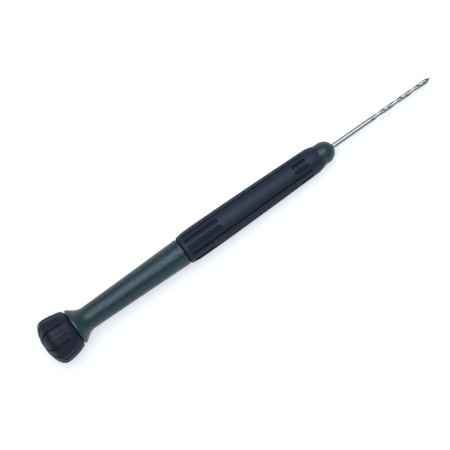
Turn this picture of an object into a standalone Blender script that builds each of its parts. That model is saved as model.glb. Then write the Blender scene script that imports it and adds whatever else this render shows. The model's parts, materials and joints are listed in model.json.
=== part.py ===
"""A boilie drill: a slim hand drill for fishing bait, lying on a flat surface.

The palm presses on a knob that turns freely on the tail of the handle, and the fingers twirl the grip.
Every piece is modelled along the tool's own axis. A station is a distance along that axis, in metres,
from the butt of the knob at 0 to the tip of the drill. An empty then lays the whole tool down, tip to +X,
so that it rests on the knob's widest ring and on the front shoulder of the grip.
"""

import math

import bmesh
import bpy

# Swivel, from the screw outwards: every round size adds a wall or a step to the one inside it.
THREAD_RADIUS = 0.0015
THREAD_LENGTH = 0.007
SHOULDER_STEP = 0.0005
SCREW_HEAD_STEP = 0.0012
SCREW_HEAD_HEIGHT = 0.0018
SCREW_EDGE = 0.0003
SCREW_SOCKET_RADIUS = 0.0014
SCREW_SOCKET_DEPTH = 0.0011
SCREW_SOCKET_SIDES = 6
HEAD_WASHER_STEP = 0.0003
HEAD_WASHER_THICKNESS = 0.0005
BUSH_WALL = 0.0006
BUSH_FLANGE_STEP = 0.0006
BUSH_FLANGE_THICKNESS = 0.0006
HEAD_ROOM = 0.0009
HEAD_CLEARANCE = 0.0003
HUB_WALL = 0.0025
HUB_EDGE = 0.0008
HUB_INSET = 0.00055
THRUST_WASHER_THICKNESS = 0.001
INSERT_WALL = 0.001
INSERT_LENGTH = 0.0082
INSERT_BAND = 0.0027
INSERT_GROOVE = 0.0004
INSERT_DEPTH = 0.0004

# Palm knob: the soft ribbed cover.
KNOB_LENGTH = 0.01225
KNOB_BULGE = 0.00176
KNOB_EDGE = 0.0004
KNOB_DOME_LENGTH = 0.0045
KNOB_DOME_POWER = 2.2
KNOB_FLAT_RADIUS = 0.0025
COVER_RIM_WALL = 0.0008
COVER_END_WALL = 0.0022
COVER_LIP_WIDTH = 0.0003
COVER_LIP_THICKNESS = 0.0013

# Knob pattern: raised spines, and between them recessed panels with two windows each.
SPINE_COUNT = 5
SPINE_HEIGHT = 0.0005
SPINE_ANGLE = math.radians(24)
PANEL_START = 0.0009
WINDOW_DEPTH = 0.0005
WINDOW_ANGLE = math.radians(18)
WINDOW_MARGIN = math.radians(1)
WINDOW_START = 0.0032
KNOB_BAND = 0.0021
KNOB_PHASE = math.radians(156)

# Handle moulding: flange, neck, seat of the grip and nose.
NECK_LENGTH = 0.0473
NECK_WALL = 0.00148
NECK_TAPER_POWER = 1.2
FLANGE_STEP = 0.00257
FLANGE_RIM = 0.0008
FLANGE_EDGE = 0.0003
FLANGE_RECESS = 0.0003
FLARE_LENGTH = 0.0052
FLARE_BIAS = 0.65
SEAT_RADIUS = 0.0038
NECK_STEP = 0.00137
NOSE_STEP = 0.00037
NOSE_STRAIGHT = 0.0022
NOSE_ROUND = 0.0045

# Soft grip sleeve.
GRIP_LENGTH = 0.0599
GRIP_REAR_GAP = 0.0004
GRIP_WALL = 0.00185
GRIP_CROWN = 0.0094
GRIP_REAR_ROUND = 0.0055
GRIP_REAR_DROP = 0.00062
GRIP_FRONT_WALL = 0.00092
GRIP_TAPER_POWER = 1.4
GRIP_FRONT_ROUND = 0.0027
GRIP_FRONT_DROP = 0.00052

# Grip pattern: pairs of finger pockets at both ends of the smooth panels and of the strips between
# them, and long grooves along the edges of the panels.
PANEL_COUNT = 3
GRIP_PHASE = math.radians(176)
TONGUE_ANGLE = math.radians(14)
POCKET_DEPTH = 0.0006
PANEL_POCKET_ANGLE = math.radians(14.5)
PANEL_POCKET_LENGTH = 0.0144
STRIP_POCKET_ANGLE = math.radians(8)
STRIP_POCKET_LENGTH = 0.0094
FRONT_POCKET_LENGTH = 0.0055
POCKET_REAR_INSET = 0.0014
POCKET_FRONT_INSET = 0.0054
EDGE_GROOVE_OFFSET = math.radians(40.5)
EDGE_GROOVE_ANGLE = math.radians(4.5)
EDGE_GROOVE_DEPTH = 0.0005

# Twist drill.
BIT_RADIUS = 0.0009
BIT_BURIED = 0.026
BIT_REACH = 0.0437
BIT_FLUTE_LENGTH = 0.0267
BIT_RUNOUT = 0.0025
BIT_LEAD = 0.0143
BIT_WEB_RADIUS = 0.0005
BIT_POINT_LENGTH = 0.0018
BIT_POINT_RADIUS = 0.00008
FLUTE_COUNT = 2
FLUTE_SHAPE = 3

# Clearance between assembled pieces, and how far cutters reach past a surface.
FIT = 0.0002
CUTTER_REACH = 0.001

# Fineness of the round shapes: sides round the axis, and rings along an outline.
KNOB_SIDES = 30
GRIP_SIDES = 30
CORE_SIDES = 32
SMALL_SIDES = 24
BIT_SIDES = 16
CURVE_RINGS = 6
ROUND_RINGS = 4
SHORT_RINGS = 2
RINGS_PER_TURN = 12
PANEL_SIDES = 6
POCKET_SIDES = 2
SMOOTH_ANGLE = math.radians(35)
MERGE_DISTANCE = 0.000001
BISECTIONS = 60

# Radii of the swivel, from the screw outwards to the knob.
SHOULDER_RADIUS = THREAD_RADIUS + SHOULDER_STEP
SCREW_HEAD_RADIUS = SHOULDER_RADIUS + SCREW_HEAD_STEP
HEAD_WASHER_RADIUS = SCREW_HEAD_RADIUS + HEAD_WASHER_STEP
BUSH_BORE = SHOULDER_RADIUS + FIT
BUSH_RADIUS = BUSH_BORE + BUSH_WALL
BUSH_FLANGE_RADIUS = BUSH_RADIUS + BUSH_FLANGE_STEP
COUNTERBORE_RADIUS = max(HEAD_WASHER_RADIUS, BUSH_FLANGE_RADIUS) + HEAD_CLEARANCE
HUB_RADIUS = COUNTERBORE_RADIUS + HUB_WALL
COVER_BORE = HUB_RADIUS + FIT
COVER_LIP_RADIUS = COVER_BORE - COVER_LIP_WIDTH
HUB_BOSS_RADIUS = COVER_LIP_RADIUS - FIT
THRUST_WASHER_RADIUS = HUB_BOSS_RADIUS
RECESS_RADIUS = THRUST_WASHER_RADIUS + FIT
KNOB_RIM_RADIUS = COVER_BORE + COVER_RIM_WALL
KNOB_RADIUS = KNOB_RIM_RADIUS + KNOB_BULGE
PANEL_INNER_RADIUS = KNOB_FLAT_RADIUS + PANEL_START

# Radii of the handle and the grip.
INSERT_BORE = THREAD_RADIUS + FIT
INSERT_RADIUS = INSERT_BORE + INSERT_WALL
INSERT_POCKET_RADIUS = INSERT_RADIUS + FIT
NECK_WAIST_RADIUS = INSERT_POCKET_RADIUS + NECK_WALL
FLANGE_RADIUS = NECK_WAIST_RADIUS + FLANGE_STEP
NECK_END_RADIUS = SEAT_RADIUS + NECK_STEP
NOSE_RADIUS = SEAT_RADIUS + NOSE_STEP
GRIP_BORE = SEAT_RADIUS + FIT
GRIP_RADIUS = GRIP_BORE + GRIP_WALL
GRIP_FRONT_RADIUS = GRIP_BORE + GRIP_FRONT_WALL
BIT_SOCKET_RADIUS = BIT_RADIUS + FIT

# Stations along the axis.
HUB_REAR = COVER_END_WALL + FIT
HEAD_REAR = HUB_REAR + HEAD_ROOM
HEAD_FRONT = HEAD_REAR + SCREW_HEAD_HEIGHT
HEAD_WASHER_REAR = HEAD_FRONT + FIT
HEAD_WASHER_FRONT = HEAD_WASHER_REAR + HEAD_WASHER_THICKNESS
BUSH_REAR = HEAD_WASHER_FRONT + FIT
BUSH_FLANGE_FRONT = BUSH_REAR + BUSH_FLANGE_THICKNESS
COUNTERBORE_FLOOR = BUSH_FLANGE_FRONT + FIT
LIP_FACE = KNOB_LENGTH - COVER_LIP_THICKNESS
HUB_FRONT = KNOB_LENGTH - HUB_INSET
THRUST_WASHER_REAR = HUB_FRONT + FIT
THRUST_WASHER_FRONT = THRUST_WASHER_REAR + THRUST_WASHER_THICKNESS
RECESS_FLOOR = THRUST_WASHER_FRONT + FIT
FLANGE_FACE = RECESS_FLOOR - FLANGE_RECESS
INSERT_REAR = RECESS_FLOOR + INSERT_DEPTH
INSERT_FRONT = INSERT_REAR + INSERT_LENGTH
SHOULDER_FRONT = INSERT_REAR - FIT
SCREW_FRONT = SHOULDER_FRONT + THREAD_LENGTH
GRIP_REAR = FLANGE_FACE + NECK_LENGTH
GRIP_FRONT = GRIP_REAR + GRIP_LENGTH
NOSE_ROUND_START = GRIP_FRONT + NOSE_STRAIGHT
NOSE_END = NOSE_ROUND_START + NOSE_ROUND
BIT_TIP = NOSE_END + BIT_REACH
FLUTE_START = BIT_TIP - BIT_FLUTE_LENGTH


def spread(first, last, count):
    """Evenly spread values from first to last, both included."""
    return [first + (last - first) * i / count for i in range(count + 1)]


def knob_radius(station):
    """Radius of the knob over its spines: a flattened dome, then a side that curves in to the rim."""
    if station >= KNOB_DOME_LENGTH:
        share = (station - KNOB_DOME_LENGTH) / (KNOB_LENGTH - KNOB_DOME_LENGTH)
        return KNOB_RADIUS - (KNOB_RADIUS - KNOB_RIM_RADIUS) * share ** 2
    share = (KNOB_DOME_LENGTH - station) / dome_depth()
    return KNOB_RADIUS * (1 - share ** KNOB_DOME_POWER) ** (1 / KNOB_DOME_POWER)


def dome_depth():
    """Half axis of the dome's curve, which the flat at the butt cuts short."""
    flat_share = (KNOB_FLAT_RADIUS / KNOB_RADIUS) ** KNOB_DOME_POWER
    return KNOB_DOME_LENGTH / (1 - flat_share) ** (1 / KNOB_DOME_POWER)


def dome_outline(inner_radius):
    """Dome from just behind the widest ring to inner_radius, as (radius, station) points."""
    last = math.acos((inner_radius / KNOB_RADIUS) ** (KNOB_DOME_POWER / 2))
    points = []
    for angle in spread(0, last, CURVE_RINGS)[1:]:
        radius = KNOB_RADIUS * math.cos(angle) ** (2 / KNOB_DOME_POWER)
        station = KNOB_DOME_LENGTH - dome_depth() * math.sin(angle) ** (2 / KNOB_DOME_POWER)
        points.append((radius, station))
    return points


def knob_outline():
    """Outside of the knob, from the front rim down to the flat at the butt."""
    side_end = KNOB_LENGTH - KNOB_EDGE
    side = [(knob_radius(z), z) for z in spread(side_end, KNOB_DOME_LENGTH, CURVE_RINGS)]
    rim = [(side[0][0] - KNOB_EDGE, KNOB_LENGTH)]
    return rim + side + dome_outline(KNOB_FLAT_RADIUS)


def grip_radius(station):
    """Radius of the grip: rounded rear, a crown, a long taper and a rounded front shoulder."""
    radius = GRIP_RADIUS
    rear = (GRIP_REAR + GRIP_REAR_ROUND - station) / GRIP_REAR_ROUND
    crown = GRIP_REAR + GRIP_CROWN
    taper = (station - crown) / (GRIP_FRONT - crown)
    front = (station - GRIP_FRONT + GRIP_FRONT_ROUND) / GRIP_FRONT_ROUND
    radius -= GRIP_REAR_DROP * max(rear, 0) ** 2
    radius -= (GRIP_RADIUS - GRIP_FRONT_RADIUS) * max(taper, 0) ** GRIP_TAPER_POWER
    radius -= GRIP_FRONT_DROP * max(front, 0) ** 2
    return radius


def grip_outline():
    """Outside of the grip, from its front face back to its rear face."""
    front_round = spread(GRIP_FRONT - FIT, GRIP_FRONT - GRIP_FRONT_ROUND, ROUND_RINGS)
    taper = spread(front_round[-1], GRIP_REAR + GRIP_CROWN, CURVE_RINGS)[1:]
    rear_round = spread(GRIP_REAR + GRIP_REAR_ROUND, GRIP_REAR + GRIP_REAR_GAP, ROUND_RINGS)
    return [(grip_radius(z), z) for z in front_round + taper + rear_round]


def nose_outline():
    """Outside of the nose, from the mouth of the drill's socket back to the grip's seat."""
    mouth = math.acos(BIT_SOCKET_RADIUS / NOSE_RADIUS)
    points = []
    for angle in spread(mouth, 0, CURVE_RINGS):
        points.append((NOSE_RADIUS * math.cos(angle), NOSE_ROUND_START + NOSE_ROUND * math.sin(angle)))
    return points + [(NOSE_RADIUS, GRIP_FRONT)]


def neck_outline():
    """Outside of the neck and flange, from the grip back to the flange's rear face."""
    flare_start = FLANGE_FACE + FLANGE_RIM
    flare_end = flare_start + FLARE_LENGTH
    points = []
    for share in spread(1, 0, CURVE_RINGS):
        rise = (NECK_END_RADIUS - NECK_WAIST_RADIUS) * share ** NECK_TAPER_POWER
        points.append((NECK_WAIST_RADIUS + rise, flare_end + (GRIP_REAR - flare_end) * share))
    for share in spread(1, 0, 2 * ROUND_RINGS)[1:]:
        drop = 0.5 - 0.5 * math.cos(math.pi * share ** FLARE_BIAS)
        radius = FLANGE_RADIUS - (FLANGE_RADIUS - NECK_WAIST_RADIUS) * drop
        points.append((radius, flare_start + FLARE_LENGTH * share))
    points.append((FLANGE_RADIUS, FLANGE_FACE + FLANGE_EDGE))
    points.append((FLANGE_RADIUS - FLANGE_EDGE, FLANGE_FACE))
    return points


def inset(outline, depth):
    """An outline that runs from front to butt, moved inwards by depth along its normals."""
    moved = []
    for i, (radius, station) in enumerate(outline):
        before = outline[max(i - 1, 0)]
        after = outline[min(i + 1, len(outline) - 1)]
        along_radius = after[0] - before[0]
        along_axis = after[1] - before[1]
        length = math.hypot(along_radius, along_axis)
        moved.append((radius + depth * along_axis / length, station - depth * along_radius / length))
    return moved


def band(outline, depth):
    """Closed outline of a cutter that takes depth off a turned surface and reaches out past it."""
    return inset(outline, depth) + inset(outline, -CUTTER_REACH)[::-1]


def clear_scene():
    """Take every object out of the scene."""
    for old in list(bpy.data.objects):
        bpy.data.objects.remove(old, do_unlink=True)


def new_collection(name):
    """A new collection in the scene."""
    made = bpy.data.collections.new(name)
    bpy.context.scene.collection.children.link(made)
    return made


def new_material(name, colour, roughness, metallic):
    """A material with one Principled BSDF."""
    made = bpy.data.materials.new(name)
    made.use_nodes = True
    shader = made.node_tree.nodes["Principled BSDF"]
    shader.inputs["Base Color"].default_value = (*colour, 1)
    shader.inputs["Roughness"].default_value = roughness
    shader.inputs["Metallic"].default_value = metallic
    return made


def add_part(name, mesh, material, parent, collection):
    """One named piece, carried by an empty."""
    piece = bpy.data.objects.new(name, mesh)
    piece.data.materials.append(material)
    piece.parent = parent
    collection.objects.link(piece)
    return piece


def outline_mesh(name, outline, closed):
    """Vertices and edges of an outline, at +X of the axis."""
    edges = [(i, i + 1) for i in range(len(outline) - 1)]
    if closed:
        edges.append((len(outline) - 1, 0))
    mesh = bpy.data.meshes.new(name)
    mesh.from_pydata([(radius, 0, station) for radius, station in outline], edges, [])
    return mesh


def turn(piece, steps):
    """Turn a piece's outline round the axis, with a flat side down and not an edge."""
    screw = piece.modifiers.new("Turn", "SCREW")
    screw.axis = "Z"
    screw.angle = math.tau
    screw.steps = steps
    screw.render_steps = steps
    screw.use_merge_vertices = True
    screw.merge_threshold = MERGE_DISTANCE
    piece.rotation_euler.z = math.pi / steps


def add_turned(name, outline, closed, steps, material, parent, collection):
    """A turned piece: an outline, open where it ends on the axis, with a Screw modifier."""
    piece = add_part(name, outline_mesh(name, outline, closed), material, parent, collection)
    turn(piece, steps)
    return piece


def ring_outline(outer, inner, rear, front):
    """Closed outline of a plain ring."""
    return [(outer, front), (outer, rear), (inner, rear), (inner, front)]


def add_sector(shape, outline, start, sweep, steps):
    """Add a closed wedge to a bmesh: a closed outline swept round the axis from the angle start."""
    rings = []
    for angle in spread(start, start + sweep, steps):
        side = (math.cos(angle), math.sin(angle))
        rings.append([shape.verts.new((r * side[0], r * side[1], z)) for r, z in outline])
    for ring, after in zip(rings, rings[1:]):
        bridge(shape, ring, after)
    shape.faces.new(rings[0])
    shape.faces.new(rings[-1])


def bridge(shape, ring, after):
    """Join two closed rings of a bmesh with a band of faces."""
    count = len(ring)
    for i in range(count):
        j = (i + 1) % count
        shape.faces.new((ring[i], ring[j], after[j], after[i]))


def finish_mesh(name, shape):
    """Turn a bmesh into a mesh whose faces point out."""
    bmesh.ops.recalc_face_normals(shape, faces=shape.faces)
    mesh = bpy.data.meshes.new(name)
    shape.to_mesh(mesh)
    shape.free()
    return mesh


def cut(piece, name, shape, parent, collection):
    """Cut a piece with the closed bodies of a bmesh, kept as a wire cutter."""
    cutter = bpy.data.objects.new(name, finish_mesh(name, shape))
    cutter.parent = parent
    cutter.hide_render = True
    cutter.display_type = "WIRE"
    collection.objects.link(cutter)
    boolean = piece.modifiers.new(name, "BOOLEAN")
    boolean.operation = "DIFFERENCE"
    boolean.solver = "EXACT"
    boolean.object = cutter


def add_knob_cover(material, parent, parts, cutters):
    """Soft cover of the knob: a ribbed cup whose lip holds it on the hub."""
    inside = [
        (0, COVER_END_WALL),
        (COVER_BORE - HUB_EDGE, COVER_END_WALL),
        (COVER_BORE, COVER_END_WALL + HUB_EDGE),
        (COVER_BORE, LIP_FACE),
        (COVER_LIP_RADIUS, LIP_FACE),
        (COVER_LIP_RADIUS, KNOB_LENGTH),
    ]
    outline = inside + knob_outline() + [(0, 0)]
    cover = add_turned("knob_cover", outline, False, KNOB_SIDES, material, parent, parts)

    band_start = KNOB_LENGTH - KNOB_BAND
    panel_side = [(knob_radius(z), z) for z in spread(band_start, KNOB_DOME_LENGTH, ROUND_RINGS)]
    panel = band(panel_side + dome_outline(PANEL_INNER_RADIUS), SPINE_HEIGHT)
    window_front = band_start - WINDOW_DEPTH
    window_side = [(knob_radius(z), z) for z in spread(window_front, WINDOW_START, ROUND_RINGS)]
    window = band(window_side, SPINE_HEIGHT + WINDOW_DEPTH)

    period = math.tau / SPINE_COUNT
    panel_angle = period - SPINE_ANGLE
    panels = bmesh.new()
    windows = bmesh.new()
    for i in range(SPINE_COUNT):
        start = KNOB_PHASE + i * period
        add_sector(panels, panel, start, panel_angle, PANEL_SIDES)
        add_sector(windows, window, start + WINDOW_MARGIN, WINDOW_ANGLE, POCKET_SIDES)
        last = start + panel_angle - WINDOW_MARGIN - WINDOW_ANGLE
        add_sector(windows, window, last, WINDOW_ANGLE, POCKET_SIDES)
    cut(cover, "knob_panel_cutter", panels, parent, cutters)
    cut(cover, "knob_window_cutter", windows, parent, cutters)
    return cover


def add_knob_hub(material, parent, parts):
    """Hard core of the knob: counterbored for the screw, bored for the bush, with a boss in the lip."""
    shoulder = LIP_FACE - FIT
    outline = [
        (HUB_BOSS_RADIUS, HUB_FRONT),
        (HUB_BOSS_RADIUS, shoulder),
        (HUB_RADIUS, shoulder),
        (HUB_RADIUS, HUB_REAR + HUB_EDGE),
        (HUB_RADIUS - HUB_EDGE, HUB_REAR),
        (COUNTERBORE_RADIUS, HUB_REAR),
        (COUNTERBORE_RADIUS, COUNTERBORE_FLOOR),
        (BUSH_RADIUS + FIT, COUNTERBORE_FLOOR),
        (BUSH_RADIUS + FIT, HUB_FRONT),
    ]
    return add_turned("knob_hub", outline, True, CORE_SIDES, material, parent, parts)


def add_knob_bush(material, parent, parts):
    """Flanged plain bearing that turns on the shoulder of the screw."""
    outline = [
        (BUSH_RADIUS, HUB_FRONT),
        (BUSH_RADIUS, BUSH_FLANGE_FRONT),
        (BUSH_FLANGE_RADIUS, BUSH_FLANGE_FRONT),
        (BUSH_FLANGE_RADIUS, BUSH_REAR),
        (BUSH_BORE, BUSH_REAR),
        (BUSH_BORE, HUB_FRONT),
    ]
    return add_turned("knob_bush", outline, True, SMALL_SIDES, material, parent, parts)


def add_pivot_screw(material, parent, parts, cutters):
    """Shoulder screw: the knob's axle, with a hexagon socket in its head."""
    outline = [
        (0, SCREW_FRONT),
        (THREAD_RADIUS - SCREW_EDGE, SCREW_FRONT),
        (THREAD_RADIUS, SCREW_FRONT - SCREW_EDGE),
        (THREAD_RADIUS, SHOULDER_FRONT),
        (SHOULDER_RADIUS, SHOULDER_FRONT),
        (SHOULDER_RADIUS, HEAD_FRONT),
        (SCREW_HEAD_RADIUS, HEAD_FRONT),
        (SCREW_HEAD_RADIUS, HEAD_REAR + SCREW_EDGE),
        (SCREW_HEAD_RADIUS - SCREW_EDGE, HEAD_REAR),
        (0, HEAD_REAR),
    ]
    screw = add_turned("pivot_screw", outline, False, SMALL_SIDES, material, parent, parts)
    socket = bmesh.new()
    made = bmesh.ops.create_cone(
        socket, cap_ends=True, segments=SCREW_SOCKET_SIDES, radius1=SCREW_SOCKET_RADIUS,
        radius2=SCREW_SOCKET_RADIUS, depth=2 * SCREW_SOCKET_DEPTH)
    bmesh.ops.translate(socket, verts=made["verts"], vec=(0, 0, HEAD_REAR))
    cut(screw, "screw_socket_cutter", socket, parent, cutters)
    return screw


def add_washers(steel, plastic, parent, parts):
    """Washer under the screw's head, and the thrust washer that carries the palm's push."""
    bore = SHOULDER_RADIUS + FIT
    head = ring_outline(HEAD_WASHER_RADIUS, bore, HEAD_WASHER_REAR, HEAD_WASHER_FRONT)
    add_turned("head_washer", head, True, SMALL_SIDES, steel, parent, parts)
    thrust = ring_outline(THRUST_WASHER_RADIUS, bore, THRUST_WASHER_REAR, THRUST_WASHER_FRONT)
    add_turned("thrust_washer", thrust, True, CORE_SIDES, plastic, parent, parts)


def add_tail_insert(material, parent, parts):
    """Threaded insert in the handle's tail, with a groove that the moulding grips."""
    waist = INSERT_RADIUS - INSERT_GROOVE
    outline = [
        (INSERT_RADIUS, INSERT_FRONT),
        (INSERT_RADIUS, INSERT_FRONT - INSERT_BAND),
        (waist, INSERT_FRONT - INSERT_BAND - INSERT_GROOVE),
        (waist, INSERT_REAR + INSERT_BAND + INSERT_GROOVE),
        (INSERT_RADIUS, INSERT_REAR + INSERT_BAND),
        (INSERT_RADIUS, INSERT_REAR),
        (INSERT_BORE, INSERT_REAR),
        (INSERT_BORE, INSERT_FRONT),
    ]
    return add_turned("tail_insert", outline, True, SMALL_SIDES, material, parent, parts)


def add_handle_core(material, parent, parts):
    """Handle moulding: nose, grip seat, neck and flange, with sockets for the drill, washer and insert."""
    socket_end = NOSE_END - BIT_BURIED - FIT
    pocket_end = max(INSERT_FRONT, SCREW_FRONT) + FIT
    drill_socket = [(0, socket_end), (BIT_SOCKET_RADIUS, socket_end)]
    seat = [(SEAT_RADIUS, GRIP_FRONT), (SEAT_RADIUS, GRIP_REAR)]
    insert_pocket = [
        (RECESS_RADIUS, FLANGE_FACE),
        (RECESS_RADIUS, RECESS_FLOOR),
        (INSERT_POCKET_RADIUS, RECESS_FLOOR),
        (INSERT_POCKET_RADIUS, pocket_end),
        (0, pocket_end),
    ]
    outline = drill_socket + nose_outline() + seat + neck_outline() + insert_pocket
    return add_turned("handle_core", outline, False, CORE_SIDES, material, parent, parts)


def add_grip_sleeve(material, parent, parts, cutters):
    """Soft grip on the handle, with its finger pockets and panel grooves."""
    bore = [(GRIP_BORE, GRIP_REAR + GRIP_REAR_GAP), (GRIP_BORE, GRIP_FRONT - FIT)]
    outline = grip_outline() + bore
    sleeve = add_turned("grip_sleeve", outline, True, GRIP_SIDES, material, parent, parts)

    pockets = bmesh.new()
    rear = GRIP_REAR + POCKET_REAR_INSET
    front = GRIP_FRONT - POCKET_FRONT_INSET
    half_turn = math.pi / PANEL_COUNT
    for i in range(2 * PANEL_COUNT):
        middle = GRIP_PHASE + i * half_turn
        on_strip = i % 2 == 1
        angle = STRIP_POCKET_ANGLE if on_strip else PANEL_POCKET_ANGLE
        length = STRIP_POCKET_LENGTH if on_strip else PANEL_POCKET_LENGTH
        add_pocket_pair(pockets, middle, angle, spread(rear + length, rear, ROUND_RINGS))
        add_pocket_pair(pockets, middle, angle, spread(front, front - FRONT_POCKET_LENGTH, SHORT_RINGS))
    cut(sleeve, "grip_pocket_cutter", pockets, parent, cutters)

    grooves = bmesh.new()
    stations = spread(front, rear, 2 * ROUND_RINGS)
    groove = band([(grip_radius(z), z) for z in stations], EDGE_GROOVE_DEPTH)
    for i in range(PANEL_COUNT):
        middle = GRIP_PHASE + 2 * i * half_turn
        for side in (-1, 1):
            start = middle + side * EDGE_GROOVE_OFFSET - EDGE_GROOVE_ANGLE / 2
            add_sector(grooves, groove, start, EDGE_GROOVE_ANGLE, 1)
    cut(sleeve, "grip_groove_cutter", grooves, parent, cutters)
    return sleeve


def add_pocket_pair(shape, middle, angle, stations):
    """Two finger pockets along the given stations, one on each side of a tongue."""
    pocket = band([(grip_radius(z), z) for z in stations], POCKET_DEPTH)
    add_sector(shape, pocket, middle + TONGUE_ANGLE / 2, angle, POCKET_SIDES)
    add_sector(shape, pocket, middle - TONGUE_ANGLE / 2 - angle, angle, POCKET_SIDES)


def bit_ring(shape, station, depth, scale):
    """One cross-section of the drill: a circle with two flutes of the given depth, turned by the helix."""
    twist = math.tau * max(station - FLUTE_START, 0) / BIT_LEAD
    ring = []
    for i in range(BIT_SIDES):
        angle = math.tau * i / BIT_SIDES
        flute = (0.5 + 0.5 * math.cos(FLUTE_COUNT * angle)) ** FLUTE_SHAPE
        radius = scale * (BIT_RADIUS - depth * flute)
        side = angle + twist
        ring.append(shape.verts.new((radius * math.cos(side), radius * math.sin(side), station)))
    return ring


def add_drill_bit(material, parent, parts):
    """Twist drill: a round shank that runs out into two flutes and a point."""
    full_depth = BIT_RADIUS - BIT_WEB_RADIUS
    flute_full = FLUTE_START + BIT_RUNOUT
    point_start = BIT_TIP - BIT_POINT_LENGTH
    turns = (point_start - flute_full) / BIT_LEAD
    shape = bmesh.new()
    rings = [bit_ring(shape, NOSE_END - BIT_BURIED, 0, 1)]
    for share in spread(0, 1, ROUND_RINGS):
        rings.append(bit_ring(shape, FLUTE_START + BIT_RUNOUT * share, full_depth * share, 1))
    for station in spread(flute_full, point_start, math.ceil(RINGS_PER_TURN * turns))[1:]:
        rings.append(bit_ring(shape, station, full_depth, 1))
    rings.append(bit_ring(shape, BIT_TIP, full_depth, BIT_POINT_RADIUS / BIT_RADIUS))
    for ring, after in zip(rings, rings[1:]):
        bridge(shape, ring, after)
    shape.faces.new(rings[0])
    shape.faces.new(rings[-1])
    return add_part("drill_bit", finish_mesh("drill_bit", shape), material, parent, parts)


def smooth_shading():
    """Geometry nodes that shade faces smooth, apart from edges sharper than SMOOTH_ANGLE."""
    tree = bpy.data.node_groups.new("smooth_by_angle", "GeometryNodeTree")
    tree.interface.new_socket("Geometry", in_out="INPUT", socket_type="NodeSocketGeometry")
    tree.interface.new_socket("Geometry", in_out="OUTPUT", socket_type="NodeSocketGeometry")
    start = tree.nodes.new("NodeGroupInput")
    end = tree.nodes.new("NodeGroupOutput")
    angle = tree.nodes.new("GeometryNodeInputMeshEdgeAngle")
    gentle = tree.nodes.new("FunctionNodeCompare")
    gentle.operation = "LESS_THAN"
    gentle.inputs["B"].default_value = SMOOTH_ANGLE
    faces = tree.nodes.new("GeometryNodeSetShadeSmooth")
    edges = tree.nodes.new("GeometryNodeSetShadeSmooth")
    edges.domain = "EDGE"
    tree.links.new(angle.outputs["Unsigned Angle"], gentle.inputs["A"])
    tree.links.new(start.outputs["Geometry"], faces.inputs["Geometry"])
    tree.links.new(faces.outputs["Geometry"], edges.inputs["Geometry"])
    tree.links.new(gentle.outputs["Result"], edges.inputs["Shade Smooth"])
    tree.links.new(edges.outputs["Geometry"], end.inputs["Geometry"])
    return tree


def shade_smooth(parts):
    """Shade every piece smooth, after its other modifiers."""
    tree = smooth_shading()
    for piece in parts.objects:
        if piece.type == "MESH":
            piece.modifiers.new("Smooth by angle", "NODES").node_group = tree


def resting_depth(outline, slope, steps):
    """How far a turned piece reaches below the axis line that slopes down towards the tip."""
    flat = math.cos(math.pi / steps)
    return max(radius * flat + slope * station for radius, station in outline)


def lay_down():
    """Slope of the axis and place of the butt on it, with the knob and the grip on the floor."""
    knob = knob_outline()
    grip = grip_outline()
    low = 0
    high = 1
    for _ in range(BISECTIONS):
        slope = (low + high) / 2
        if resting_depth(grip, slope, GRIP_SIDES) < resting_depth(knob, slope, KNOB_SIDES):
            low = slope
        else:
            high = slope
    tilt = math.atan(slope)
    height = resting_depth(knob, slope, KNOB_SIDES) * math.cos(tilt)
    butt = min(z * math.cos(tilt) - r * math.sin(tilt) for r, z in knob)
    tip = BIT_TIP * math.cos(tilt) + BIT_POINT_RADIUS * math.sin(tilt)
    return tilt, (-(butt + tip) / 2, 0, height)


def add_axis(name, parent, collection):
    """An empty on the tool's axis."""
    axis = bpy.data.objects.new(name, None)
    axis.parent = parent
    collection.objects.link(axis)
    return axis


def main():
    clear_scene()
    parts = new_collection("boilie_drill")
    cutters = new_collection("boilie_drill_cutters")

    green = new_material("green_plastic", (0.028, 0.046, 0.05), 0.45, 0)
    black = new_material("black_rubber", (0.014, 0.017, 0.024), 0.6, 0)
    knob_black = new_material("knob_rubber", (0.014, 0.016, 0.023), 0.65, 0)
    drill_steel = new_material("drill_steel", (0.56, 0.57, 0.58), 0.25, 1)
    screw_steel = new_material("screw_steel", (0.5, 0.5, 0.51), 0.35, 1)
    washer_steel = new_material("washer_steel", (0.55, 0.55, 0.56), 0.3, 1)
    brass = new_material("insert_brass", (0.6, 0.42, 0.16), 0.35, 1)
    bronze = new_material("bush_bronze", (0.5, 0.32, 0.15), 0.4, 1)
    acetal = new_material("black_acetal", (0.02, 0.021, 0.023), 0.4, 0)
    hub_plastic = new_material("hub_plastic", (0.03, 0.03, 0.032), 0.5, 0)

    tilt, butt = lay_down()
    tool_axis = add_axis("tool_axis", None, parts)
    tool_axis.location = butt
    tool_axis.rotation_euler.y = math.pi / 2 + tilt
    knob_axis = add_axis("knob_axis", tool_axis, parts)

    add_drill_bit(drill_steel, tool_axis, parts)
    add_handle_core(green, tool_axis, parts)
    add_grip_sleeve(black, tool_axis, parts, cutters)
    add_tail_insert(brass, tool_axis, parts)
    add_pivot_screw(screw_steel, tool_axis, parts, cutters)
    add_washers(washer_steel, acetal, tool_axis, parts)
    add_knob_hub(hub_plastic, knob_axis, parts)
    add_knob_bush(bronze, knob_axis, parts)
    add_knob_cover(knob_black, knob_axis, parts, cutters)
    shade_smooth(parts)


main()
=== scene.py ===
# %% [markdown]
# # A boilie drill, dressed for its portrait
# A boilie drill is a slim hand drill for hard carp bait. The palm pushes on a knob that turns freely at the
# butt, the fingers twirl a long soft grip, and a thin twist drill at the front makes the hole.
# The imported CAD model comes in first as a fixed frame. It knows where every piece sits and what turns, so
# this script only adds the finer surfaces and the finishes, and each piece it adds rides on a CAD body.

# %% Load the frame
import json
import math

import bmesh
import bpy
import numpy as np
from mathutils import Matrix, Vector


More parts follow.
